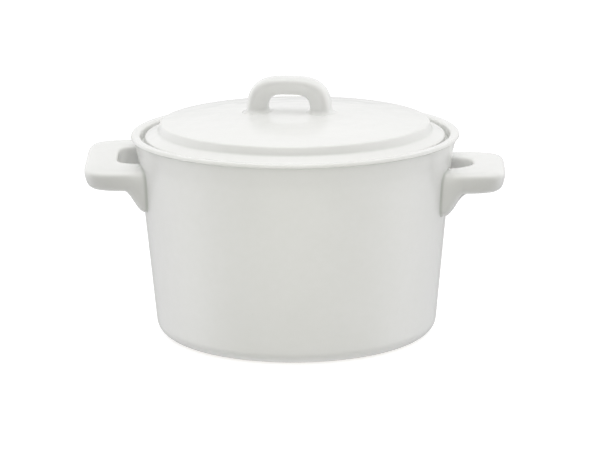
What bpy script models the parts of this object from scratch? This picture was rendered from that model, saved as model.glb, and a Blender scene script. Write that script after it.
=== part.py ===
"""Covered casserole dish in glazed white ceramic, for Blender 4.5 (metres, +Z up).

A round, slightly tapered pot carries two slotted lug handles on +X and -X.  Its lid sits on a ledge
inside the rim and carries a strap handle.  The origin is the centre of the foot, on the surface that
the dish stands on.  Each piece is one object: the handles are formed on their own and luted on, so
each keeps a narrow joint line to the piece that it is fixed to.
"""
import math

import bpy
import bmesh
from mathutils import Matrix, Vector

OBJECT_NAME = "covered_casserole"

# Round the axis, every turned piece has the same facets, so that neighbours stay parallel.
TURN_STEPS = 60
JOINT_GAP = 0.0003

# Pot: outside
RIM_RADIUS = 0.1008
RIM_HEIGHT = 0.1246
NECK_RADIUS = 0.0967        # the straight side runs from the base to this radius and height
NECK_HEIGHT = 0.1145
FLARE_HEIGHT = 0.1085       # where the side starts to flare out towards the lip
BASE_RADIUS = 0.0864        # where the straight side would meet the table
BASE_CORNER_RADIUS = 0.0087
LIP_RADIUS = 0.0013
LIP_LEAN = 0.0004           # how much further out the lip's lower edge stands than its top
LIP_EDGE_DROP = 0.0020      # from the rim's top down to the lip's lower edge
LIP_DEPTH = 0.0028
LIP_UNDERCUT = 0.0017       # how far the side steps in under the lip
LIP_INNER_ROUND = 0.0020
FOOT_RING_WIDTH = 0.0085
FOOT_RECESS = 0.0012

# Pot: inside
WALL_THICKNESS = 0.0054
FLOOR_HEIGHT = 0.0072
FLOOR_CORNER_RADIUS = 0.0085
RIM_INNER_RADIUS = 0.0950
LEDGE_HEIGHT = 0.1180
LEDGE_INNER_RADIUS = 0.0848
LEDGE_THICKNESS = 0.0045
LEDGE_COVE_DEPTH = 0.0090
EDGE_ROUND = 0.0010

# Lid
LID_TOP_HEIGHT = 0.1370     # crown of the dome, at the axis
LID_EDGE_HEIGHT = 0.1316    # where the dome ends and the step begins
LID_DOME_RADIUS = 0.0808
LID_THICKNESS = 0.0050
STEP_FOOT_RADIUS = 0.0843
STEP_FOOT_HEIGHT = 0.1262
FLANGE_RADIUS = 0.0922
FLANGE_EDGE_HEIGHT = 0.1230
SKIRT_OUTER_RADIUS = 0.0832
SKIRT_WALL = 0.0042
SKIRT_DEPTH = 0.0085
LID_TURN = math.radians(-8)  # how far round the lid sits in its seat

# Lug handles: a level loop, deeper where it meets the pot
LUG_REACH = 0.1298          # from the pot's axis to the handle's end
LUG_HALF_WIDTH = 0.0328
LUG_ROOT_PLANE = 0.0840     # where the loop starts, inside the pot's wall
LUG_TOP = 0.1043
LUG_BAR_HEIGHT = 0.0136
LUG_SLOT_REACH = 0.1088
LUG_SLOT_HALF_WIDTH = 0.0140
LUG_OUTER_SQUARENESS = (6.0, 6.0)
LEFT_SLOT_SQUARENESS = (6.0, 4.5)
LEFT_SLOT_SHIFT = -0.0015
RIGHT_SLOT_SQUARENESS = (1.8, 4.5)
RIGHT_SLOT_SHIFT = -0.0006
LUG_ROOT_DROP = 0.0140      # extra depth under the bar at the wall
LUG_ROOT_LAND = 0.0012      # how far from the wall that extra depth starts to run out
LUG_ROOT_BLEND = 0.0130     # how far from the wall it ends

# How each lug is set on by hand: twist lifts its back edge, swing moves it round the pot
LEFT_LUG_TWIST = math.radians(8.2)
LEFT_LUG_RAISE = 0.0061
LEFT_LUG_SWING = math.radians(1.5)
RIGHT_LUG_TWIST = math.radians(1.5)
RIGHT_LUG_RAISE = 0.0010
RIGHT_LUG_SWING = math.radians(-1.2)

# Lid handle: an upright loop with a flat top
STRAP_TOP = 0.1588
STRAP_HALF_WIDTH = 0.0263
STRAP_HALF_DEPTH = 0.0094
STRAP_ROOT_PLANE = 0.1340
STRAP_OPENING_TOP = 0.1474
STRAP_OPENING_HALF_WIDTH = 0.0131
STRAP_OUTER_SQUARENESS = (3.0, 3.0)
STRAP_OPENING_SQUARENESS = (4.0, 4.0)
STRAP_SHIFT = -0.0033       # the strap stands a little to one side of the lid's centre

# Loft resolution
LUG_STATIONS = 30
STRAP_STATIONS = 26
SECTION_POINTS = 16

# Sections: (outer side, inner side)
LUG_SECTION_SQUARENESS = (3.6, 7.0)
LUG_DRAFT = 0.25             # how much narrower a lug's bar is at its underside than at its top
STRAP_SECTION_SQUARENESS = (2.4, 3.0)
STRAP_TAPER = 0.40           # how much narrower the strap is at its inner side than at its outer
CURVE_SAMPLES = 600

GLAZE_COLOUR = (0.86, 0.86, 0.84, 1.0)
GLAZE_ROUGHNESS = 0.22


# ---------------------------------------------------------------- scene and materials

def clear_scene():
    for obj in list(bpy.data.objects):
        bpy.data.objects.remove(obj, do_unlink=True)


def new_collection(name):
    collection = bpy.data.collections.new(name)
    bpy.context.scene.collection.children.link(collection)
    return collection


def glaze_material(name):
    material = bpy.data.materials.new(name)
    material.use_nodes = True
    shader = material.node_tree.nodes["Principled BSDF"]
    shader.inputs["Base Color"].default_value = GLAZE_COLOUR
    shader.inputs["Roughness"].default_value = GLAZE_ROUGHNESS
    shader.inputs["Metallic"].default_value = 0.0
    return material


def add_object(name, mesh, collection):
    obj = bpy.data.objects.new(name, mesh)
    collection.objects.link(obj)
    return obj


def hide_cutter(cutter):
    cutter.hide_render = True
    cutter.display_type = "WIRE"


def shade(obj):
    obj.data.shade_smooth()
    obj.data.set_sharp_from_angle(angle=math.radians(40))


# ---------------------------------------------------------------- outlines

def arc(centre, radius, start_deg, end_deg, steps):
    """Points on an arc in the (radius, height) plane, both ends included."""
    points = []
    for step in range(steps + 1):
        angle = math.radians(start_deg + (end_deg - start_deg) * step / steps)
        points.append((centre[0] + radius * math.cos(angle), centre[1] + radius * math.sin(angle)))
    return points


def outer_wall_radius(height):
    """The straight taper of the pot's side."""
    slope = (NECK_RADIUS - BASE_RADIUS) / NECK_HEIGHT
    return BASE_RADIUS + slope * height


def inner_wall_radius(height):
    return outer_wall_radius(height) - WALL_THICKNESS


def dome_height(radius):
    """The lid's crown, a shallow parabola."""
    rise = LID_TOP_HEIGHT - LID_EDGE_HEIGHT
    return LID_TOP_HEIGHT - rise * (radius / LID_DOME_RADIUS) ** 2


def turned(name, profile, collection):
    """A solid of revolution from an outline that runs down its outer side."""
    mesh = bpy.data.meshes.new(name)
    vertices = [(radius, 0.0, height) for radius, height in profile]
    edges = [(index, index + 1) for index in range(len(vertices) - 1)]
    mesh.from_pydata(vertices, edges, [])
    obj = add_object(name, mesh, collection)
    screw = obj.modifiers.new("Turn", "SCREW")
    screw.axis = "Z"
    screw.angle = 2 * math.pi
    screw.steps = TURN_STEPS
    screw.render_steps = TURN_STEPS
    screw.use_merge_vertices = True
    screw.merge_threshold = 0.00001
    screw.use_smooth_shade = True
    return obj


# ---------------------------------------------------------------- turned pieces

def pot_inside():
    """From the middle of the floor up to the ledge's lower edge."""
    corner_top = FLOOR_HEIGHT + FLOOR_CORNER_RADIUS
    corner_centre = (inner_wall_radius(corner_top) - FLOOR_CORNER_RADIUS, corner_top)
    cove_top = LEDGE_HEIGHT - LEDGE_THICKNESS
    cove_foot = cove_top - LEDGE_COVE_DEPTH
    points = [(0.0, FLOOR_HEIGHT)]
    points += arc(corner_centre, FLOOR_CORNER_RADIUS, -90, 0, 4)
    points.append((inner_wall_radius(cove_foot), cove_foot))
    middle = (inner_wall_radius(cove_top) + LEDGE_INNER_RADIUS) / 2
    points.append((middle + EDGE_ROUND, cove_top - LEDGE_COVE_DEPTH * 0.35))
    points.append((LEDGE_INNER_RADIUS, cove_top))
    return points


def pot_seat_and_lip():
    """The ledge that the lid sits on, the rim's inner face, its rounded lip and the flare under it."""
    points = [(LEDGE_INNER_RADIUS, LEDGE_HEIGHT - EDGE_ROUND)]
    points.append((LEDGE_INNER_RADIUS + EDGE_ROUND, LEDGE_HEIGHT))
    points.append((RIM_INNER_RADIUS - EDGE_ROUND, LEDGE_HEIGHT))
    points.append((RIM_INNER_RADIUS, LEDGE_HEIGHT + EDGE_ROUND))
    inner_centre = (RIM_INNER_RADIUS + LIP_INNER_ROUND, RIM_HEIGHT - LIP_INNER_ROUND)
    points += arc(inner_centre, LIP_INNER_ROUND, 180, 90, 3)
    tip_centre = (RIM_RADIUS - LIP_LEAN - LIP_RADIUS, RIM_HEIGHT - LIP_RADIUS)
    points += arc(tip_centre, LIP_RADIUS, 80, 15, 3)
    points.append((RIM_RADIUS, RIM_HEIGHT - LIP_EDGE_DROP))
    return points + flare()


def flare():
    """The outside of the pot from the lip's foot down to where the straight side begins."""
    top_radius = RIM_RADIUS - LIP_UNDERCUT
    top_height = RIM_HEIGHT - LIP_DEPTH
    foot_radius = outer_wall_radius(FLARE_HEIGHT)
    points = []
    for share in (1.0, 0.7, 0.4, 0.0):
        radius = foot_radius + (top_radius - foot_radius) * share ** 1.2
        points.append((radius, FLARE_HEIGHT + (top_height - FLARE_HEIGHT) * share))
    return points


def pot_outside():
    """Down the side, round the base corner, across the foot ring and its recess."""
    corner_height = BASE_CORNER_RADIUS
    corner_centre = (outer_wall_radius(corner_height) - BASE_CORNER_RADIUS, BASE_CORNER_RADIUS)
    points = arc(corner_centre, BASE_CORNER_RADIUS, 0, -90, 5)
    ring_inner = corner_centre[0] - FOOT_RING_WIDTH
    points.append((ring_inner, 0.0))
    points.append((ring_inner - EDGE_ROUND, FOOT_RECESS))
    points.append((0.0, FOOT_RECESS))
    return points


def build_pot_body(collection):
    profile = pot_inside() + pot_seat_and_lip() + pot_outside()
    return turned("pot_body", profile, collection)


def lid_top():
    """From the crown over the step to the flange's edge."""
    points = []
    for fraction in (0.0, 0.3, 0.55, 0.8, 1.0):
        radius = LID_DOME_RADIUS * fraction
        points.append((radius, dome_height(radius)))
    points.append((LID_DOME_RADIUS + EDGE_ROUND, LID_EDGE_HEIGHT - 0.5 * EDGE_ROUND))
    points.append((LID_DOME_RADIUS + 1.7 * EDGE_ROUND, LID_EDGE_HEIGHT - 1.7 * EDGE_ROUND))
    points.append((STEP_FOOT_RADIUS - 0.5 * EDGE_ROUND, STEP_FOOT_HEIGHT + EDGE_ROUND))
    points.append((STEP_FOOT_RADIUS + EDGE_ROUND, STEP_FOOT_HEIGHT - EDGE_ROUND))
    points.append((FLANGE_RADIUS - EDGE_ROUND, FLANGE_EDGE_HEIGHT + 0.4 * EDGE_ROUND))
    points.append((FLANGE_RADIUS, FLANGE_EDGE_HEIGHT - 0.6 * EDGE_ROUND))
    return points


def lid_underside():
    """The flange's seat, the locating skirt and the hollow under the dome."""
    seat = LEDGE_HEIGHT + JOINT_GAP
    skirt_foot = seat - SKIRT_DEPTH
    skirt_inner = SKIRT_OUTER_RADIUS - SKIRT_WALL
    hollow_edge = skirt_inner - 3 * EDGE_ROUND
    points = [(FLANGE_RADIUS, seat + EDGE_ROUND)]
    points.append((FLANGE_RADIUS - EDGE_ROUND, seat))
    points.append((SKIRT_OUTER_RADIUS + EDGE_ROUND, seat))
    points.append((SKIRT_OUTER_RADIUS, seat - EDGE_ROUND))
    points.append((SKIRT_OUTER_RADIUS - EDGE_ROUND, skirt_foot))
    points.append((skirt_inner + 0.5 * EDGE_ROUND, skirt_foot))
    points.append((skirt_inner, skirt_foot + EDGE_ROUND))
    points.append((skirt_inner - 0.3 * EDGE_ROUND, dome_height(skirt_inner) - LID_THICKNESS - 3 * EDGE_ROUND))
    points.append((hollow_edge, dome_height(hollow_edge) - LID_THICKNESS))
    for fraction in (0.5, 0.0):
        radius = LID_DOME_RADIUS * fraction
        points.append((radius, dome_height(radius) - LID_THICKNESS))
    return points


def build_lid_disc(collection):
    return turned("lid_disc", lid_top() + lid_underside(), collection)


# ---------------------------------------------------------------- lofted handles

def signed_power(value, exponent):
    return math.copysign(abs(value) ** exponent, value)


def superellipse_arch(reach, half_width, squareness, count):
    """Half a superellipse, from one side round the end to the other, as evenly spaced points.

    The squareness is a pair, so that the two sides may differ.
    """
    dense = []
    for sample in range(CURVE_SAMPLES + 1):
        angle = math.pi * (sample / CURVE_SAMPLES - 0.5)
        exponent = 2 / squareness[0 if angle < 0 else 1]
        out = reach * signed_power(math.cos(angle), exponent)
        side = half_width * signed_power(math.sin(angle), exponent)
        dense.append(Vector((max(out, 0.0), side)))
    lengths = [0.0]
    for before, after in zip(dense, dense[1:]):
        lengths.append(lengths[-1] + (after - before).length)
    points = []
    segment = 0
    for index in range(count + 1):
        target = lengths[-1] * index / count
        while segment < CURVE_SAMPLES - 1 and lengths[segment + 1] < target:
            segment += 1
        share = (target - lengths[segment]) / (lengths[segment + 1] - lengths[segment])
        points.append(dense[segment].lerp(dense[segment + 1], min(max(share, 0.0), 1.0)))
    return points


def loop_loft(name, outer, inner, half_thickness, section_squareness, draft=0.0, taper=0.0):
    """A closed bar between an outer and an inner arch, lofted through rounded sections.

    Local axes: +X outwards from the plane that the loop starts in, Y across it, Z through its thickness.
    Draft narrows the bar towards its -Z side, and taper thins it towards its inner side.
    """
    loft = bmesh.new()
    rings = []
    for outside, inside in zip(outer, inner):
        centre = (outside + inside) / 2
        across = (outside - inside) / 2
        ring = []
        for point in range(SECTION_POINTS):
            angle = 2 * math.pi * (point + 0.5) / SECTION_POINTS
            exponent = 2 / section_squareness[0 if math.cos(angle) > 0 else 1]
            sideways = signed_power(math.cos(angle), exponent)
            upwards = signed_power(math.sin(angle), exponent)
            spot = centre + across * sideways * (1 - draft * (1 - upwards) / 2)
            height = half_thickness * upwards * (1 - taper * (1 - sideways) / 2)
            ring.append(loft.verts.new((spot.x, spot.y, height)))
        rings.append(ring)
    for ring, following in zip(rings, rings[1:]):
        for point in range(SECTION_POINTS):
            beyond = (point + 1) % SECTION_POINTS
            loft.faces.new((ring[point], following[point], following[beyond], ring[beyond]))
    loft.faces.new(rings[0])
    loft.faces.new(rings[-1])
    bmesh.ops.recalc_face_normals(loft, faces=loft.faces)
    mesh = bpy.data.meshes.new(name)
    loft.to_mesh(mesh)
    loft.free()
    return mesh


def root_drop(distance):
    """Extra depth under a lug at a distance from the wall, with an S-shaped run-out."""
    share = (distance - LUG_ROOT_LAND) / (LUG_ROOT_BLEND - LUG_ROOT_LAND)
    share = min(max(share, 0.0), 1.0)
    return LUG_ROOT_DROP * (1 - share * share * (3 - 2 * share))


def deepen_root(mesh):
    """Stretches the lug downwards from its top face where it nears the pot's wall."""
    wall = outer_wall_radius(LUG_TOP - LUG_BAR_HEIGHT)
    for vertex in mesh.vertices:
        distance = math.hypot(vertex.co.x, vertex.co.y) - wall
        depth = LUG_TOP - vertex.co.z
        vertex.co.z = LUG_TOP - depth * (1 + root_drop(distance) / LUG_BAR_HEIGHT)


def lug_mesh(name, slot_squareness, slot_shift):
    """One lug in the pot's frame, pointing along +X."""
    outer = superellipse_arch(LUG_REACH - LUG_ROOT_PLANE, LUG_HALF_WIDTH, LUG_OUTER_SQUARENESS, LUG_STATIONS)
    inner = superellipse_arch(LUG_SLOT_REACH - LUG_ROOT_PLANE, LUG_SLOT_HALF_WIDTH, slot_squareness,
                              LUG_STATIONS)
    inner = [spot + Vector((0.0, slot_shift)) for spot in inner]
    mesh = loop_loft(name, outer, inner, LUG_BAR_HEIGHT / 2, LUG_SECTION_SQUARENESS, draft=LUG_DRAFT)
    mesh.transform(Matrix.Translation((LUG_ROOT_PLANE, 0.0, LUG_TOP - LUG_BAR_HEIGHT / 2)))
    deepen_root(mesh)
    return mesh


def cut(obj, cutter):
    boolean = obj.modifiers.new("Cut", "BOOLEAN")
    boolean.operation = "DIFFERENCE"
    boolean.solver = "EXACT"
    boolean.object = cutter


def build_wall_cutter(collection):
    """The pot's outside as a solid, larger by the joint gap."""
    slope_angle = math.atan2(NECK_RADIUS - BASE_RADIUS, NECK_HEIGHT)
    offset = JOINT_GAP / math.cos(slope_angle)
    profile = [(0.0, RIM_HEIGHT - LIP_DEPTH)]
    for radius, height in flare():
        profile.append((radius + offset, height))
    profile.append((outer_wall_radius(BASE_CORNER_RADIUS) + offset, BASE_CORNER_RADIUS))
    profile.append((0.0, BASE_CORNER_RADIUS))
    cutter = turned("cutter_pot_wall", profile, collection)
    hide_cutter(cutter)
    return cutter


def place_lug(mesh, facing, twist, lift, swing):
    """Turns a lug to face its side, then sets it on with its own twist, height and place round the pot.

    A positive twist lifts the edge on +Y, and a positive swing moves the lug anticlockwise from above.
    """
    middle = Vector((0.0, 0.0, LUG_TOP - LUG_BAR_HEIGHT / 2))
    tilt = Matrix.Translation(middle) @ Matrix.Rotation(twist, 4, "X") @ Matrix.Translation(-middle)
    raised = Matrix.Translation((0.0, 0.0, lift)) @ tilt
    mesh.transform(Matrix.Rotation(swing, 4, "Z") @ raised @ Matrix.Rotation(facing, 4, "Z"))


def build_left_handle(collection, wall_cutter):
    mesh = lug_mesh("left_handle", LEFT_SLOT_SQUARENESS, LEFT_SLOT_SHIFT)
    place_lug(mesh, math.pi, LEFT_LUG_TWIST, LEFT_LUG_RAISE, LEFT_LUG_SWING)
    handle = add_object("left_handle", mesh, collection)
    cut(handle, wall_cutter)
    return handle


def build_right_handle(collection, wall_cutter):
    mesh = lug_mesh("right_handle", RIGHT_SLOT_SQUARENESS, RIGHT_SLOT_SHIFT)
    place_lug(mesh, 0.0, RIGHT_LUG_TWIST, RIGHT_LUG_RAISE, RIGHT_LUG_SWING)
    handle = add_object("right_handle", mesh, collection)
    cut(handle, wall_cutter)
    return handle


def build_dome_cutter(collection):
    """The lid's crown as a solid, higher by the joint gap."""
    profile = []
    for fraction in (0.0, 0.3, 0.55, 0.8):
        radius = LID_DOME_RADIUS * fraction
        profile.append((radius, dome_height(radius) + JOINT_GAP))
    profile.append((profile[-1][0], STEP_FOOT_HEIGHT))
    profile.append((0.0, STEP_FOOT_HEIGHT))
    cutter = turned("cutter_lid_dome", profile, collection)
    hide_cutter(cutter)
    return cutter


def build_lid_handle(collection, dome_cutter):
    outer = superellipse_arch(STRAP_TOP - STRAP_ROOT_PLANE, STRAP_HALF_WIDTH, STRAP_OUTER_SQUARENESS,
                              STRAP_STATIONS)
    inner = superellipse_arch(STRAP_OPENING_TOP - STRAP_ROOT_PLANE, STRAP_OPENING_HALF_WIDTH,
                              STRAP_OPENING_SQUARENESS, STRAP_STATIONS)
    mesh = loop_loft("lid_handle", outer, inner, STRAP_HALF_DEPTH, STRAP_SECTION_SQUARENESS, taper=STRAP_TAPER)
    stand_up = Matrix(((0, 1, 0, 0), (0, 0, 1, 0), (1, 0, 0, 0), (0, 0, 0, 1)))
    place = Matrix.Rotation(LID_TURN, 4, "Z") @ Matrix.Translation((STRAP_SHIFT, 0.0, STRAP_ROOT_PLANE))
    mesh.transform(place @ stand_up)
    handle = add_object("lid_handle", mesh, collection)
    cut(handle, dome_cutter)
    return handle


# ---------------------------------------------------------------- assembly

def build():
    clear_scene()
    dish = new_collection(OBJECT_NAME)
    cutters = new_collection("cutters")
    wall_cutter = build_wall_cutter(cutters)
    dome_cutter = build_dome_cutter(cutters)
    pot = build_pot_body(dish)
    left = build_left_handle(dish, wall_cutter)
    right = build_right_handle(dish, wall_cutter)
    lid = build_lid_disc(dish)
    lid_handle = build_lid_handle(dish, dome_cutter)
    left.parent = pot
    right.parent = pot
    lid_handle.parent = lid
    for piece in (pot, left, right, lid, lid_handle):
        piece.data.materials.append(glaze_material(piece.name + "_glaze"))
    for piece in (left, right, lid_handle):
        shade(piece)


build()
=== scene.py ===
"""Looks of the covered casserole dish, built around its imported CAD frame.

Every piece is remade here as a fine glazed surface in the place that its CAD node holds: the pot and
the lid as turned surfaces with true fillets, the three handles as lofted loops whose feet flow into
the wall or the lid.  Metres, +Z up, origin at the middle of the foot.
"""
import math

import bmesh
import bpy
import numpy as np
from mathutils import Matrix, Vector


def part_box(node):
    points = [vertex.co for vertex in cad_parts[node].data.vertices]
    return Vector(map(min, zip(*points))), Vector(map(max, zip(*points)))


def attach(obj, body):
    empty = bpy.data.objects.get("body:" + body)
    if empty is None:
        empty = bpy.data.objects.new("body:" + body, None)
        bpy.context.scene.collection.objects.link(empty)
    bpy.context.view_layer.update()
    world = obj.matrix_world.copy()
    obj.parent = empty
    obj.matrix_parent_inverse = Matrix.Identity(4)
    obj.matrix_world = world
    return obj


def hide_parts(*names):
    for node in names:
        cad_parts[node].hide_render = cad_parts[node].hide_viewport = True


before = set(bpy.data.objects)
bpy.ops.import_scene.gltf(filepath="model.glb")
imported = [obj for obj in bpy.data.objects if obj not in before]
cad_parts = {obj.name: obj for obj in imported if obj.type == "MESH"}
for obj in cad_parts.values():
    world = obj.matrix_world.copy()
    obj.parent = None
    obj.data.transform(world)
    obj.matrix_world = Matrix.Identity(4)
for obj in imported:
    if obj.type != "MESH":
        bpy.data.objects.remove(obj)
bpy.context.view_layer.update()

# Main sizes, read from the frame
POT_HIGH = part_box("pot_body")[1]
LID_LOW, LID_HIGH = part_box("lid_disc")
RIM_RADIUS = POT_HIGH.x
RIM_HEIGHT = POT_HIGH.z
FLANGE_RADIUS = LID_HIGH.x
LID_TOP_HEIGHT = LID_HIGH.z
SKIRT_FOOT_HEIGHT = LID_LOW.z
STRAP_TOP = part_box("lid_handle")[1].z

# Pot outside
NECK_RADIUS = 0.0967
NECK_HEIGHT = 0.1145
BASE_RADIUS = 0.0864
BASE_CORNER_RADIUS = 0.0087
LIP_RADIUS = 0.0013
LIP_LEAN = 0.0004           # how much further out the lip's lower edge stands than its top
LIP_EDGE_DROP = 0.0020      # from the rim's top down to the lip's lower edge
LIP_EDGE_ROUND = 0.0004
LIP_DEPTH = 0.0028
LIP_UNDERCUT = 0.0017       # how far the side steps in under the lip
LIP_UNDER_ROUND = 0.0006
LIP_INNER_ROUND = 0.0020
FLARE_TOP_DROP = 0.0065     # from the rim's top down to the flare's upper bend
FLARE_TOP_STEP = 0.0010     # how far that bend stands inside the undercut
FLARE_TOP_ROUND = 0.015
FLARE_FOOT_DROP = 0.005     # from the neck's height down to the flare's lower bend
FLARE_FOOT_ROUND = 0.030
FOOT_RING_WIDTH = 0.0085
FOOT_RING_ROUND = 0.0006
FOOT_RECESS = 0.0012
FOOT_RECESS_SLOPE = 0.0012
FOOT_RECESS_ROUND = 0.0008

# Pot inside
WALL_THICKNESS = 0.0054
FLOOR_HEIGHT = 0.0072
FLOOR_CORNER_RADIUS = 0.0085
RIM_INNER_RADIUS = 0.0950
LEDGE_HEIGHT = 0.1180
LEDGE_INNER_RADIUS = 0.0848
LEDGE_THICKNESS = 0.0045
LEDGE_COVE_DEPTH = 0.0090
LEDGE_COVE_ROUND = 0.006
LEDGE_UNDER_ROUND = 0.0015
LEDGE_EDGE_ROUND = 0.0012
LEDGE_SEAT_ROUND = 0.0010

# Lid
LID_EDGE_HEIGHT = 0.1316
LID_DOME_RADIUS = 0.0808
LID_SHOULDER_RADIUS = 0.0826
LID_SHOULDER_DROP = 0.0002
LID_SHOULDER_ROUND = 0.0016
LID_THICKNESS = 0.0050
DOME_SHARES = (0.0, 0.15, 0.3, 0.45, 0.6, 0.75, 0.9)
DOME_ROUND = 0.5
STEP_FOOT_RADIUS = 0.0843
STEP_FOOT_HEIGHT = 0.1262
STEP_FOOT_ROUND = 0.0022
FLANGE_EDGE_HEIGHT = 0.1230
FLANGE_EDGE_ROUND = 0.0011
FLANGE_SEAT_HEIGHT = 0.1183
FLANGE_SEAT_ROUND = 0.0010
SKIRT_OUTER_RADIUS = 0.0832
SKIRT_WALL = 0.0042
SKIRT_ROOT_ROUND = 0.0009
SKIRT_FOOT_ROUND = 0.0011
SKIRT_OUTER_DRAFT = 0.0008
SKIRT_INNER_DRAFT = 0.0003
HOLLOW_CORNER_WIDTH = 0.0030
HOLLOW_CORNER_DROP = 0.0012
HOLLOW_CORNER_ROUND = 0.0045
LID_TURN = math.radians(-8)

# Lug handles
LUG_REACH = 0.1297
LUG_HALF_WIDTH = 0.0328
LUG_ROOT_PLANE = 0.0840     # where both arches start, inside the wall
LUG_TOP = 0.1043
LUG_BAR_HEIGHT = 0.0136
LUG_SLOT_REACH = 0.1088
LUG_SLOT_HALF_WIDTH = 0.0140
LUG_OUTER_SQUARENESS = (6.0, 6.0)
LUG_ROOT_DROP = 0.0140      # how much deeper the root is than the bar
LUG_ROOT_LAND = 0.0012      # how far from the wall the root keeps its full depth
LUG_ROOT_BLEND = 0.0130     # how far from the wall it has run out into the bar
LUG_FILLET = 0.0007
LUG_OUTER_SECTION = 3.6     # squareness of the bar's section at its outer side
LUG_SLOT_SECTION = 7.0      # and at its slot
LUG_DRAFT = 0.25            # how much narrower the bar is at its underside than at its top
LEFT_LUG = {"facing": math.pi, "twist": math.radians(8.2), "lift": 0.0061, "swing": math.radians(1.5),
            "slot_squareness": (6.0, 4.5), "slot_shift": -0.0015}
RIGHT_LUG = {"facing": 0.0, "twist": math.radians(1.5), "lift": 0.0010, "swing": math.radians(-1.2),
             "slot_squareness": (1.8, 4.5), "slot_shift": -0.0006}

# Strap handle
STRAP_HALF_WIDTH = 0.0263
STRAP_HALF_DEPTH = 0.0094
STRAP_ROOT_PLANE = 0.1340   # where both arches start, inside the crown
STRAP_OPENING_TOP = 0.1474
STRAP_OPENING_HALF_WIDTH = 0.0131
STRAP_OUTER_SQUARENESS = (3.0, 3.0)
STRAP_OPENING_SQUARENESS = (4.0, 4.0)
STRAP_OUTER_SECTION = 2.4   # squareness of the strap's section at its outer side
STRAP_INNER_SECTION = 3.0   # and at its inner side
STRAP_TAPER = 0.40          # how much narrower the strap is at its inner side than at its outer
STRAP_SHIFT = -0.0033
STRAP_FILLET = 0.0030

# Glaze and clay
GLAZE_FULL = (0.912, 0.912, 0.902)
GLAZE_THIN = (0.896, 0.897, 0.884)
GLAZE_MOTTLE = (0.850, 0.855, 0.830)
# partly glaze pooled in hollows, partly painted shade: darker there to stand in for the shade in hollows
GLAZE_POOL_AND_SHADE = (0.740, 0.765, 0.725)
GLAZE_EDGE = (0.790, 0.780, 0.740)
# painted shade along the crease where a lug meets the pot wall
JOINT_SHADE = (0.640, 0.660, 0.620)
CLAY_PALE = (0.780, 0.735, 0.660)
CLAY_DARK = (0.660, 0.610, 0.530)
EDGE_BEND = 420.0           # the bend, in 1/m, at which an edge counts as full
WIPE_HEIGHT = 0.0007        # how far up the foot the glaze is wiped off
JOINT_SHADE_REACH = 0.0022        # how far the painted shade in the crease round a lug's foot reaches
FORM_SOFTENING = 4          # rounds of averaging that soften the edge and hollow values
WIPE_SOFTENING = 1

# Mesh fineness
TURN_SEGMENTS = 220
PROFILE_STEP = 0.0022
FILLET_STEP_DEG = 11
LUG_STATIONS = 150
STRAP_STATIONS = 120
SECTION_POINTS = 60
CURVE_SAMPLES = 4000
EMBED = 0.0003              # how far a handle's foot sits into the clay under it

# Hand finish: the thrown rim is slightly oval
OVAL_AMOUNT = 0.0015
OVAL_AXIS = math.radians(135)

# Camera
VIEW_AIM = Vector((0.0004, 0.0, 0.0594))
VIEW_DISTANCE = 1.5
VIEW_AZIMUTH = math.radians(1.85)
VIEW_ELEVATION = math.radians(13.62)
VIEW_ROLL = math.radians(0.5)
VIEW_LENS = 146.6

# Floor of the stage
STAGE_RADIUS = 9.0
STAGE_GAP = 0.0002          # how far the floor lies under the foot
STAGE_COLOUR = (0.62, 0.62, 0.62, 1.0)
STAGE_GLOW = 0.62

# Soft panels of the studio, as (azimuth from behind, elevation, strength)
PANEL_SHARPNESS = 7.0
MIDDLE_PANELS = ((0, 90, 1.85), (0, -70, 1.3), (0, 15, 0.59))
MIRRORED_PANELS = ((45, 45, 0.21), (90, 45, 0.33),
                   (45, 15, 0.69), (90, 15, 0.41),
                   (45, -15, 0.37), (90, -15, 1.37))

# Soft lights in front of the dish, as (place, size, watts)
FRONT_FILLS = (((0.0, -0.34, 0.03), (0.25, 0.10), 0.25),
               ((0.0, -0.60, 0.25), (0.25, 0.25), 0.44),
               ((0.0, -0.45, 0.60), (0.30, 0.30), 0.53))
FILL_COLOUR = (1.0, 1.0, 0.94)
FILL_AIM = (0.0, 0.0, 0.08)


# ---------------------------------------------------------------- outlines

def fillet_corner(before, corner, after, radius):
    """Points of the arc that rounds one corner of an outline."""
    corner = np.array(corner)
    to_before = np.array(before) - corner
    to_after = np.array(after) - corner
    reach_before = np.linalg.norm(to_before)
    reach_after = np.linalg.norm(to_after)
    to_before /= reach_before
    to_after /= reach_after
    half = math.acos(np.clip(to_before @ to_after, -1, 1)) / 2
    if radius <= 0 or half > math.radians(89):
        return [tuple(corner)]
    setback = min(radius / math.tan(half), 0.49 * reach_before, 0.49 * reach_after)
    radius = setback * math.tan(half)
    bisector = to_before + to_after
    centre = corner + bisector / np.linalg.norm(bisector) * radius / math.sin(half)
    start = corner + to_before * setback - centre
    end = corner + to_after * setback - centre
    turn = math.atan2(start[0] * end[1] - start[1] * end[0], start @ end)
    steps = max(2, math.ceil(abs(math.degrees(turn)) / FILLET_STEP_DEG))
    points = []
    for step in range(steps + 1):
        angle = turn * step / steps
        cosine = math.cos(angle)
        sine = math.sin(angle)
        points.append((centre[0] + cosine * start[0] - sine * start[1],
                       centre[1] + sine * start[0] + cosine * start[1]))
    return points


def rounded_outline(corners):
    """An outline in the (radius, height) plane from corners given as (radius, height, rounding)."""
    points = [corners[0][:2]]
    for before, corner, after in zip(corners, corners[1:], corners[2:]):
        points += fillet_corner(before[:2], corner[:2], after[:2], corner[2])
    points.append(corners[-1][:2])
    return even_steps(points)


def even_steps(points):
    """Splits long stretches, so that the surface has quads of about one size."""
    fine = [points[0]]
    for start, end in zip(points, points[1:]):
        length = math.dist(start, end)
        pieces = max(1, math.ceil(length / PROFILE_STEP))
        for piece in range(1, pieces + 1):
            share = piece / pieces
            fine.append((start[0] + (end[0] - start[0]) * share,
                         start[1] + (end[1] - start[1]) * share))
    return fine


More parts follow.
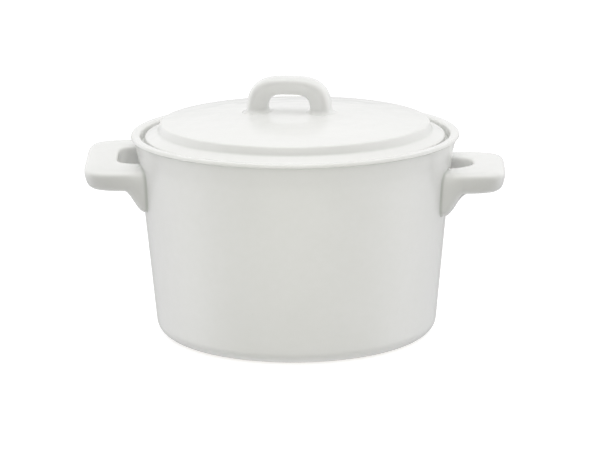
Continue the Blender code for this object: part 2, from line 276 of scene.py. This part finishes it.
def outer_wall_radius(height):
    slope = (NECK_RADIUS - BASE_RADIUS) / NECK_HEIGHT
    return BASE_RADIUS + slope * height


def inner_wall_radius(height):
    return outer_wall_radius(height) - WALL_THICKNESS


def dome_height(radius):
    rise = LID_TOP_HEIGHT - LID_EDGE_HEIGHT
    return LID_TOP_HEIGHT - rise * (radius / LID_DOME_RADIUS) ** 2


def closed_mesh(name, vertices, faces):
    """A mesh whose faces all look outwards."""
    mesh = bpy.data.meshes.new(name)
    mesh.from_pydata([tuple(v) for v in vertices], [], faces)
    shell = bmesh.new()
    shell.from_mesh(mesh)
    bmesh.ops.recalc_face_normals(shell, faces=shell.faces)
    shell.to_mesh(mesh)
    shell.free()
    return mesh


def new_object(name, vertices, faces):
    mesh = closed_mesh(name, vertices, faces)
    mesh.shade_smooth()
    obj = bpy.data.objects.new(name, mesh)
    bpy.context.scene.collection.objects.link(obj)
    return obj


def oval(vertices):
    """Draws the turned shape out a little along one diagonal, and in across it."""
    angle = np.arctan2(vertices[:, 1], vertices[:, 0]) - OVAL_AXIS
    stretch = 1 + OVAL_AMOUNT * np.cos(2 * angle)
    vertices[:, 0] *= stretch
    vertices[:, 1] *= stretch
    return vertices


def revolve(name, outline):
    """A turned surface from an outline whose two ends lie on the axis."""
    rings = outline[1:-1]
    angles = np.arange(TURN_SEGMENTS) * 2 * math.pi / TURN_SEGMENTS
    vertices = []
    for radius, height in rings:
        level = np.full(TURN_SEGMENTS, height)
        vertices.append(np.column_stack([radius * np.cos(angles), radius * np.sin(angles), level]))
    vertices = np.vstack(vertices + [[(0, 0, outline[0][1])], [(0, 0, outline[-1][1])]])
    first_pole = len(rings) * TURN_SEGMENTS
    faces = []
    for ring in range(len(rings) - 1):
        base = ring * TURN_SEGMENTS
        for step in range(TURN_SEGMENTS):
            beyond = (step + 1) % TURN_SEGMENTS
            faces.append((base + step, base + beyond,
                          base + TURN_SEGMENTS + beyond, base + TURN_SEGMENTS + step))
    last = (len(rings) - 1) * TURN_SEGMENTS
    for step in range(TURN_SEGMENTS):
        beyond = (step + 1) % TURN_SEGMENTS
        faces.append((first_pole, beyond, step))
        faces.append((first_pole + 1, last + step, last + beyond))
    return new_object(name, oval(vertices), faces)


# ---------------------------------------------------------------- turned pieces

def pot_outline():
    cove_top = LEDGE_HEIGHT - LEDGE_THICKNESS
    cove_foot = cove_top - LEDGE_COVE_DEPTH
    ring_outer = outer_wall_radius(BASE_CORNER_RADIUS) - BASE_CORNER_RADIUS
    ring_inner = ring_outer - FOOT_RING_WIDTH
    undercut = RIM_RADIUS - LIP_UNDERCUT
    flare_foot = NECK_HEIGHT - FLARE_FOOT_DROP
    corners = [(0.0, FLOOR_HEIGHT, 0.0)]
    corners.append((inner_wall_radius(FLOOR_HEIGHT), FLOOR_HEIGHT, FLOOR_CORNER_RADIUS))
    corners.append((inner_wall_radius(cove_foot), cove_foot, LEDGE_COVE_ROUND))
    corners.append((LEDGE_INNER_RADIUS, cove_top, LEDGE_UNDER_ROUND))
    corners.append((LEDGE_INNER_RADIUS, LEDGE_HEIGHT, LEDGE_EDGE_ROUND))
    corners.append((RIM_INNER_RADIUS, LEDGE_HEIGHT, LEDGE_SEAT_ROUND))
    corners.append((RIM_INNER_RADIUS, RIM_HEIGHT, LIP_INNER_ROUND))
    corners.append((RIM_RADIUS - LIP_LEAN, RIM_HEIGHT, LIP_RADIUS))
    corners.append((RIM_RADIUS, RIM_HEIGHT - LIP_EDGE_DROP, LIP_EDGE_ROUND))
    corners.append((undercut, RIM_HEIGHT - LIP_DEPTH, LIP_UNDER_ROUND))
    corners.append((undercut - FLARE_TOP_STEP, RIM_HEIGHT - FLARE_TOP_DROP, FLARE_TOP_ROUND))
    corners.append((outer_wall_radius(flare_foot), flare_foot, FLARE_FOOT_ROUND))
    corners.append((outer_wall_radius(0.0), 0.0, BASE_CORNER_RADIUS))
    corners.append((ring_inner, 0.0, FOOT_RING_ROUND))
    corners.append((ring_inner - FOOT_RECESS_SLOPE, FOOT_RECESS, FOOT_RECESS_ROUND))
    corners.append((0.0, FOOT_RECESS, 0.0))
    return rounded_outline(corners)


def lid_outline():
    skirt_inner = SKIRT_OUTER_RADIUS - SKIRT_WALL
    hollow_edge = skirt_inner - HOLLOW_CORNER_WIDTH
    hollow_corner_height = dome_height(skirt_inner) - LID_THICKNESS - HOLLOW_CORNER_DROP
    corners = []
    for share in DOME_SHARES:
        radius = LID_DOME_RADIUS * share
        corners.append((radius, dome_height(radius), DOME_ROUND))
    corners.append((LID_SHOULDER_RADIUS, LID_EDGE_HEIGHT - LID_SHOULDER_DROP, LID_SHOULDER_ROUND))
    corners.append((STEP_FOOT_RADIUS, STEP_FOOT_HEIGHT, STEP_FOOT_ROUND))
    corners.append((FLANGE_RADIUS, FLANGE_EDGE_HEIGHT, FLANGE_EDGE_ROUND))
    corners.append((FLANGE_RADIUS, FLANGE_SEAT_HEIGHT, FLANGE_SEAT_ROUND))
    corners.append((SKIRT_OUTER_RADIUS, FLANGE_SEAT_HEIGHT, SKIRT_ROOT_ROUND))
    corners.append((SKIRT_OUTER_RADIUS - SKIRT_OUTER_DRAFT, SKIRT_FOOT_HEIGHT, SKIRT_FOOT_ROUND))
    corners.append((skirt_inner, SKIRT_FOOT_HEIGHT, SKIRT_FOOT_ROUND))
    corners.append((skirt_inner - SKIRT_INNER_DRAFT, hollow_corner_height, HOLLOW_CORNER_ROUND))
    corners.append((hollow_edge, dome_height(hollow_edge) - LID_THICKNESS, DOME_ROUND))
    for share in reversed(DOME_SHARES[:-1]):
        radius = LID_DOME_RADIUS * share
        corners.append((radius, dome_height(radius) - LID_THICKNESS, DOME_ROUND))
    return rounded_outline(corners)


# ---------------------------------------------------------------- lofted handles

def signed_power(values, exponent):
    return np.copysign(np.abs(values) ** exponent, values)


def superellipse_arch(reach, half_width, squareness, count):
    """Half a superellipse from one side round the end to the other, as evenly spaced points.

    The squareness is a pair: one value for each side.
    """
    angle = np.linspace(-math.pi / 2, math.pi / 2, CURVE_SAMPLES + 1)
    squareness = np.where(angle < 0, squareness[0], squareness[1])
    out = reach * signed_power(np.maximum(np.cos(angle), 0.0), 2 / squareness)
    side = half_width * signed_power(np.sin(angle), 2 / squareness)
    lengths = np.concatenate([[0.0], np.cumsum(np.hypot(np.diff(out), np.diff(side)))])
    targets = np.linspace(0.0, lengths[-1], count + 1)
    return np.column_stack([np.interp(targets, lengths, out), np.interp(targets, lengths, side)])


def loop_loft(outer, inner, half_thickness, outer_squareness, inner_squareness, draft=0.0, taper=0.0):
    """Vertices and faces of a closed bar between two arches, lofted through rounded sections."""
    angle = 2 * math.pi * (np.arange(SECTION_POINTS) + 0.5) / SECTION_POINTS
    squareness = np.where(np.cos(angle) > 0, outer_squareness, inner_squareness)
    sideways = signed_power(np.cos(angle), 2 / squareness)
    upwards = signed_power(np.sin(angle), 2 / squareness)
    narrowed = sideways * (1 - draft * (1 - upwards) / 2)
    upwards = upwards * (1 - taper * (1 - sideways) / 2)
    centre = (outer + inner) / 2
    across = (outer - inner) / 2
    spots = centre[:, None, :] + across[:, None, :] * narrowed[None, :, None]
    heights = np.broadcast_to(half_thickness * upwards, spots.shape[:2])
    vertices = np.dstack([spots, heights]).reshape(-1, 3)
    faces = []
    for ring in range(len(outer) - 1):
        base = ring * SECTION_POINTS
        for point in range(SECTION_POINTS):
            beyond = (point + 1) % SECTION_POINTS
            faces.append((base + point, base + SECTION_POINTS + point,
                          base + SECTION_POINTS + beyond, base + beyond))
    faces.append(tuple(range(SECTION_POINTS)))
    last = (len(outer) - 1) * SECTION_POINTS
    faces.append(tuple(range(last + SECTION_POINTS - 1, last - 1, -1)))
    return vertices, faces


def move(vertices, matrix):
    matrix = np.array(matrix)
    return vertices @ matrix[:3, :3].T + matrix[:3, 3]


def surface_normals(vertices, faces):
    mesh = closed_mesh("normals", vertices, faces)
    normals = np.array([v.normal for v in mesh.vertices])
    bpy.data.meshes.remove(mesh)
    return normals


def cove(distance, radius):
    """How far a quarter-round cove spreads a foot out, at a distance above what it stands on."""
    rise = radius - np.clip(distance, 0.0, radius)
    return radius - np.sqrt(np.maximum(radius ** 2 - rise ** 2, 0.0))


def spread(vertices, normals, away, distance, radius):
    """Pushes the skin near a joint outwards along the surface that it stands on."""
    along = normals - away * np.sum(normals * away, axis=1, keepdims=True)
    length = np.linalg.norm(along, axis=1, keepdims=True)
    along = np.where(length > 0.2, along / np.maximum(length, 1e-9), 0.0)
    return vertices + along * cove(distance, radius)[:, None]


def seat_on_wall(vertices, normals):
    """Fits a lug's foot to the pot's side: a cove where they meet, and nothing deeper than the embed."""
    radius = np.hypot(vertices[:, 0], vertices[:, 1])
    away = np.column_stack([vertices[:, 0] / radius, vertices[:, 1] / radius, np.zeros(len(vertices))])
    distance = radius - outer_wall_radius(vertices[:, 2])
    vertices = spread(vertices, normals, away, distance, LUG_FILLET)
    radius = np.hypot(vertices[:, 0], vertices[:, 1])
    angle = np.arctan2(vertices[:, 1], vertices[:, 0]) - OVAL_AXIS
    wall = outer_wall_radius(vertices[:, 2]) * (1 + OVAL_AMOUNT * np.cos(2 * angle))
    scale = np.maximum(radius, wall - EMBED) / radius
    vertices[:, 0] *= scale
    vertices[:, 1] *= scale
    return vertices


def seat_on_dome(vertices, normals):
    """Fits the strap's feet to the lid's crown."""
    away = np.tile([0.0, 0.0, 1.0], (len(vertices), 1))
    surface = dome_height(np.hypot(vertices[:, 0], vertices[:, 1]))
    vertices = spread(vertices, normals, away, vertices[:, 2] - surface, STRAP_FILLET)
    surface = dome_height(np.hypot(vertices[:, 0], vertices[:, 1]))
    vertices[:, 2] = np.maximum(vertices[:, 2], surface - EMBED)
    return vertices


def deepen_root(vertices):
    """Draws a lug's underside down to a deeper root where it nears the wall."""
    distance = np.hypot(vertices[:, 0], vertices[:, 1]) - outer_wall_radius(LUG_TOP - LUG_BAR_HEIGHT)
    share = np.clip((distance - LUG_ROOT_LAND) / (LUG_ROOT_BLEND - LUG_ROOT_LAND), 0.0, 1.0)
    drop = LUG_ROOT_DROP * (1 - share * share * (3 - 2 * share))
    depth = LUG_TOP - vertices[:, 2]
    vertices[:, 2] = LUG_TOP - depth * (1 + drop / LUG_BAR_HEIGHT)
    return vertices


def build_lug(name, facing, twist, lift, swing, slot_squareness, slot_shift):
    """A slotted lug made on +X, then twisted about its length, lifted, and turned to its side of the pot."""
    outer = superellipse_arch(LUG_REACH - LUG_ROOT_PLANE, LUG_HALF_WIDTH,
                              LUG_OUTER_SQUARENESS, LUG_STATIONS)
    inner = superellipse_arch(LUG_SLOT_REACH - LUG_ROOT_PLANE, LUG_SLOT_HALF_WIDTH,
                              slot_squareness, LUG_STATIONS)
    inner = inner + np.array([0.0, slot_shift])
    vertices, faces = loop_loft(outer, inner, LUG_BAR_HEIGHT / 2, LUG_OUTER_SECTION, LUG_SLOT_SECTION,
                                draft=LUG_DRAFT)
    middle_height = LUG_TOP - LUG_BAR_HEIGHT / 2
    vertices = deepen_root(vertices + np.array([LUG_ROOT_PLANE, 0.0, middle_height]))
    middle = Vector((0.0, 0.0, middle_height))
    tilt = Matrix.Translation(middle) @ Matrix.Rotation(twist, 4, "X") @ Matrix.Translation(-middle)
    placed = Matrix.Rotation(swing, 4, "Z") @ Matrix.Translation((0.0, 0.0, lift)) @ tilt
    vertices = move(vertices, placed @ Matrix.Rotation(facing, 4, "Z"))
    vertices = seat_on_wall(vertices, surface_normals(vertices, faces))
    return new_object(name, vertices, faces)


def build_strap():
    outer = superellipse_arch(STRAP_TOP - STRAP_ROOT_PLANE, STRAP_HALF_WIDTH,
                              STRAP_OUTER_SQUARENESS, STRAP_STATIONS)
    inner = superellipse_arch(STRAP_OPENING_TOP - STRAP_ROOT_PLANE, STRAP_OPENING_HALF_WIDTH,
                              STRAP_OPENING_SQUARENESS, STRAP_STATIONS)
    vertices, faces = loop_loft(outer, inner, STRAP_HALF_DEPTH, STRAP_OUTER_SECTION, STRAP_INNER_SECTION,
                                taper=STRAP_TAPER)
    stand_up = Matrix(((0, 1, 0, 0), (0, 0, 1, 0), (1, 0, 0, 0), (0, 0, 0, 1)))
    place = Matrix.Rotation(LID_TURN, 4, "Z") @ Matrix.Translation((STRAP_SHIFT, 0.0, STRAP_ROOT_PLANE))
    vertices = move(vertices, place @ stand_up)
    vertices = seat_on_dome(vertices, surface_normals(vertices, faces))
    return new_object("strap_glazed", vertices, faces)


# ---------------------------------------------------------------- glaze

class Nodes:
    """Short calls for adding and joining a material's nodes."""

    def __init__(self, material):
        material.use_nodes = True
        self.tree = material.node_tree
        self.shader = self.tree.nodes["Principled BSDF"]

    def join(self, source, target):
        self.tree.links.new(source, target)

    def noise(self, place, scale, detail, roughness):
        node = self.tree.nodes.new("ShaderNodeTexNoise")
        node.inputs["Scale"].default_value = scale
        node.inputs["Detail"].default_value = detail
        node.inputs["Roughness"].default_value = roughness
        self.join(place, node.inputs["Vector"])
        return node.outputs["Fac"]

    def ramp(self, source, low, high, out_low=0.0, out_high=1.0):
        """Maps low..high smoothly to out_low..out_high."""
        node = self.tree.nodes.new("ShaderNodeMapRange")
        node.interpolation_type = "SMOOTHSTEP"
        settings = {"From Min": low, "From Max": high, "To Min": out_low, "To Max": out_high}
        for name, value in settings.items():
            node.inputs[name].default_value = value
        self.join(source, node.inputs["Value"])
        return node.outputs["Result"]

    def attribute(self, name):
        node = self.tree.nodes.new("ShaderNodeAttribute")
        node.attribute_name = name
        return node.outputs["Fac"]

    def math(self, operation, first, second):
        node = self.tree.nodes.new("ShaderNodeMath")
        node.operation = operation
        for value, socket in zip((first, second), node.inputs):
            if isinstance(value, float):
                socket.default_value = value
            else:
                self.join(value, socket)
        return node.outputs["Value"]

    def mix(self, share, first, second):
        """Blends two colours, each an output or an (r, g, b) value."""
        node = self.tree.nodes.new("ShaderNodeMix")
        node.data_type = "RGBA"
        self.join(share, node.inputs["Factor"])
        for colour, socket in ((first, node.inputs[6]), (second, node.inputs[7])):
            if isinstance(colour, tuple):
                socket.default_value = (*colour, 1.0)
            else:
                self.join(colour, socket)
        return node.outputs[2]

    def bump(self, height, strength, distance, before=None):
        node = self.tree.nodes.new("ShaderNodeBump")
        node.inputs["Strength"].default_value = strength
        node.inputs["Distance"].default_value = distance
        self.join(height, node.inputs["Height"])
        if before is not None:
            self.join(before, node.inputs["Normal"])
        return node.outputs["Normal"]


def glaze_material():
    """White glaze over pale clay: it thins on edges, pools in hollows, which are darkened further as painted
    shade, has painted shade along the crease at each lug's foot, and stops short of the wiped foot.
    """
    material = bpy.data.materials.new("white_glaze")
    nodes = Nodes(material)
    place = nodes.tree.nodes.new("ShaderNodeTexCoord").outputs["Object"]
    cloud = nodes.noise(place, scale=24.0, detail=4.0, roughness=0.55)
    mottle = nodes.noise(place, scale=210.0, detail=3.0, roughness=0.6)
    drift = nodes.noise(place, scale=75.0, detail=3.0, roughness=0.5)
    skin = nodes.noise(place, scale=620.0, detail=2.0, roughness=0.4)
    grain = nodes.noise(place, scale=2600.0, detail=3.0, roughness=0.7)
    edge = nodes.math("MULTIPLY", nodes.attribute("edge"), nodes.ramp(drift, 0.25, 0.75, 0.35, 1.0))
    hollow = nodes.attribute("hollow")
    wiped = nodes.math("ADD", nodes.attribute("wiped"), nodes.ramp(mottle, 0.2, 0.8, -0.16, 0.16))
    bare = nodes.ramp(wiped, 0.42, 0.56)
    pits = pinholes(nodes, place)

    white = nodes.mix(nodes.ramp(cloud, 0.3, 0.7), GLAZE_THIN, GLAZE_FULL)
    white = nodes.mix(nodes.ramp(mottle, 0.25, 0.75, 0.0, 0.22), white, GLAZE_MOTTLE)
    # hollows: pooled glaze, darkened further as painted shade
    white = nodes.mix(nodes.ramp(hollow, 0.0, 1.0, 0.0, 0.65), white, GLAZE_POOL_AND_SHADE)
    # painted shade along the crease at each lug's foot, next to the wall
    white = nodes.mix(nodes.ramp(nodes.attribute("joint"), 0.0, 1.0, 0.0, 0.9), white, JOINT_SHADE)
    white = nodes.mix(nodes.ramp(edge, 0.1, 1.0, 0.0, 0.30), white, GLAZE_EDGE)
    white = nodes.mix(nodes.math("MULTIPLY", pits, 0.5), white, GLAZE_EDGE)
    clay = nodes.mix(nodes.ramp(grain, 0.3, 0.7), CLAY_DARK, CLAY_PALE)
    nodes.join(nodes.mix(bare, white, clay), nodes.shader.inputs["Base Color"])

    gloss = nodes.ramp(drift, 0.25, 0.75, 0.12, 0.21)
    gloss = nodes.math("ADD", gloss, nodes.math("MULTIPLY", edge, 0.08))
    matte = nodes.math("MULTIPLY", bare, 0.6)
    nodes.join(nodes.math("ADD", gloss, matte), nodes.shader.inputs["Roughness"])
    nodes.shader.inputs["IOR"].default_value = 1.5

    normal = nodes.bump(cloud, strength=0.15, distance=0.0008)
    normal = nodes.bump(skin, strength=0.10, distance=0.00022, before=normal)
    normal = nodes.bump(nodes.math("MULTIPLY", pits, -1.0), strength=0.5, distance=0.0001, before=normal)
    normal = nodes.bump(nodes.math("MULTIPLY", grain, bare), strength=0.6, distance=0.00015, before=normal)
    nodes.join(normal, nodes.shader.inputs["Normal"])
    return material


def pinholes(nodes, place):
    """A few tiny pits where the glaze boiled, in about one cell of the pattern in eight."""
    cells = nodes.tree.nodes.new("ShaderNodeTexVoronoi")
    cells.inputs["Scale"].default_value = 130.0
    nodes.join(place, cells.inputs["Vector"])
    split = nodes.tree.nodes.new("ShaderNodeSeparateColor")
    nodes.join(cells.outputs["Color"], split.inputs["Color"])
    chosen = nodes.ramp(split.outputs["Red"], 0.87, 0.88)
    spot = nodes.ramp(cells.outputs["Distance"], 0.02, 0.045, 1.0, 0.0)
    return nodes.math("MULTIPLY", chosen, spot)


def vertex_table(mesh, field):
    """A mesh's places or normals, one row for each vertex."""
    values = np.empty(len(mesh.vertices) * 3)
    mesh.vertices.foreach_get(field, values)
    return values.reshape(-1, 3)


def over_edges(target, starts, stops, from_starts, from_stops):
    """Adds one value for each edge to the sums kept at its two vertices."""
    np.add.at(target, starts, from_starts)
    np.add.at(target, stops, from_stops)
    return target


def mark_form(obj, wiped_below=None, wiped_beyond=0.0, on_wall=False):
    """Writes how convex, how hollow, how wiped and how near a joint each point is, for the glaze to read."""
    mesh = obj.data
    count = len(mesh.vertices)
    spots = vertex_table(mesh, "co")
    normals = vertex_table(mesh, "normal")
    ends = np.empty(len(mesh.edges) * 2, dtype=np.int64)
    mesh.edges.foreach_get("vertices", ends)
    starts, stops = ends.reshape(-1, 2).T
    valence = np.maximum(over_edges(np.zeros(count), starts, stops, 1, 1), 1)

    along = spots[stops] - spots[starts]
    square = np.maximum(np.sum(along * along, axis=1), 1e-12)
    at_starts = -2 * np.sum(along * normals[starts], axis=1) / square
    at_stops = 2 * np.sum(along * normals[stops], axis=1) / square
    bend = over_edges(np.zeros(count), starts, stops, at_starts, at_stops) / valence / EDGE_BEND

    radius = np.hypot(spots[:, 0], spots[:, 1])
    wiped = np.zeros(count)
    if wiped_below is not None:
        wiped = ((spots[:, 2] < wiped_below) & (radius > wiped_beyond)).astype(float)
    joint = np.zeros(count)
    if on_wall:
        # nearness to the wall, which the glaze uses for the painted shade in the crease
        joint = np.clip(1 - (radius - outer_wall_radius(spots[:, 2])) / JOINT_SHADE_REACH, 0, 1)

    values = {"edge": (np.clip(bend, 0, 1), FORM_SOFTENING), "hollow": (np.clip(-bend, 0, 1), FORM_SOFTENING),
              "wiped": (wiped, WIPE_SOFTENING), "joint": (joint, 0)}
    for name, (value, rounds) in values.items():
        for _ in range(rounds):
            nearby = over_edges(np.zeros(count), starts, stops, value[stops], value[starts])
            value = (value + nearby / valence) / 2
        layer = mesh.attributes.new(name, "FLOAT", "POINT")
        layer.data.foreach_set("value", value.astype(np.float32))


# ---------------------------------------------------------------- stage

def build_floor():
    """A plain white floor that glows to paper white, and neither lights the dish nor shades it."""
    bpy.ops.mesh.primitive_circle_add(vertices=96, radius=STAGE_RADIUS, fill_type="NGON",
                                      location=(0.0, 0.0, -STAGE_GAP))
    floor = bpy.context.object
    floor.name = "floor"
    material = bpy.data.materials.new("floor_white")
    material.use_nodes = True
    shader = material.node_tree.nodes["Principled BSDF"]
    shader.inputs["Base Color"].default_value = STAGE_COLOUR
    shader.inputs["Roughness"].default_value = 0.9
    shader.inputs["Specular IOR Level"].default_value = 0.1
    shader.inputs["Emission Color"].default_value = (1.0, 1.0, 1.0, 1.0)
    shader.inputs["Emission Strength"].default_value = STAGE_GLOW
    floor.data.materials.append(material)
    floor.visible_diffuse = False
    floor.visible_glossy = False
    floor.visible_shadow = False


def panel_direction(azimuth, elevation):
    azimuth = math.radians(azimuth)
    elevation = math.radians(elevation)
    level = math.cos(elevation)
    return (math.sin(azimuth) * level, math.cos(azimuth) * level, math.sin(elevation))


def build_world():
    """A white studio whose light comes from soft panels: overhead, below, behind and at both sides."""
    world = bpy.data.worlds.new("studio")
    bpy.context.scene.world = world
    world.use_nodes = True
    tree = world.node_tree
    panels = list(MIDDLE_PANELS)
    for azimuth, elevation, strength in MIRRORED_PANELS:
        panels += [(azimuth, elevation, strength), (-azimuth, elevation, strength)]
    direction = tree.nodes.new("ShaderNodeTexCoord").outputs["Generated"]
    total = None
    for azimuth, elevation, strength in panels:
        facing = tree.nodes.new("ShaderNodeVectorMath")
        facing.operation = "DOT_PRODUCT"
        facing.inputs[1].default_value = panel_direction(azimuth, elevation)
        tree.links.new(direction, facing.inputs[0])
        falloff = tree.nodes.new("ShaderNodeMath")
        falloff.operation = "MULTIPLY_ADD"
        falloff.inputs[1].default_value = PANEL_SHARPNESS
        falloff.inputs[2].default_value = math.log(strength) - PANEL_SHARPNESS
        tree.links.new(facing.outputs["Value"], falloff.inputs[0])
        glow = tree.nodes.new("ShaderNodeMath")
        glow.operation = "EXPONENT"
        tree.links.new(falloff.outputs["Value"], glow.inputs[0])
        if total is None:
            total = glow.outputs["Value"]
            continue
        add = tree.nodes.new("ShaderNodeMath")
        tree.links.new(total, add.inputs[0])
        tree.links.new(glow.outputs["Value"], add.inputs[1])
        total = add.outputs["Value"]
    tree.links.new(total, tree.nodes["Background"].inputs["Strength"])
    tree.nodes["Background"].inputs["Color"].default_value = (1.0, 1.0, 1.0, 1.0)


def build_front_fills():
    for number, (place, size, watts) in enumerate(FRONT_FILLS):
        data = bpy.data.lights.new(f"front_fill_{number}", "AREA")
        data.shape = "RECTANGLE"
        data.size, data.size_y = size
        data.energy = watts
        data.color = FILL_COLOUR
        light = bpy.data.objects.new(data.name, data)
        light.location = place
        facing = Vector(FILL_AIM) - Vector(place)
        light.rotation_euler = facing.to_track_quat("-Z", "Y").to_euler()
        light.visible_glossy = False
        bpy.context.scene.collection.objects.link(light)


def build_camera():
    level = math.cos(VIEW_ELEVATION)
    forward = Vector((-math.sin(VIEW_AZIMUTH) * level, math.cos(VIEW_AZIMUTH) * level,
                      -math.sin(VIEW_ELEVATION)))
    right = Vector((math.cos(VIEW_AZIMUTH), math.sin(VIEW_AZIMUTH), 0.0))
    up = right.cross(forward)
    data = bpy.data.cameras.new("camera")
    data.sensor_width = 36.0
    data.lens = VIEW_LENS
    data.clip_start = 0.05
    data.clip_end = 50.0
    camera = bpy.data.objects.new("camera", data)
    bpy.context.scene.collection.objects.link(camera)
    place = Matrix.Translation(VIEW_AIM - forward * VIEW_DISTANCE)
    axes = Matrix((right, up, -forward)).transposed().to_4x4()
    camera.matrix_world = place @ axes @ Matrix.Rotation(-VIEW_ROLL, 4, "Z")
    bpy.context.scene.camera = camera


# ---------------------------------------------------------------- assembly

def put(obj, body, node, material):
    obj.data.materials.append(material)
    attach(obj, body)
    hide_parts(node)


glaze = glaze_material()
pot = revolve("pot_glazed", pot_outline())
left_lug = build_lug("left_lug_glazed", **LEFT_LUG)
right_lug = build_lug("right_lug_glazed", **RIGHT_LUG)
lid = revolve("lid_glazed", lid_outline())
strap = build_strap()
mark_form(pot, WIPE_HEIGHT, BASE_RADIUS / 2)
mark_form(lid, SKIRT_FOOT_HEIGHT + WIPE_HEIGHT)
mark_form(left_lug, on_wall=True)
mark_form(right_lug, on_wall=True)
mark_form(strap)
put(pot, "pot", "pot_body", glaze)
put(left_lug, "pot", "left_handle", glaze)
put(right_lug, "pot", "right_handle", glaze)
put(lid, "lid", "lid_disc", glaze)
put(strap, "lid", "lid_handle", glaze)

build_camera()
build_floor()
build_world()
build_front_fills()
bpy.context.scene.view_settings.view_transform = "Standard"
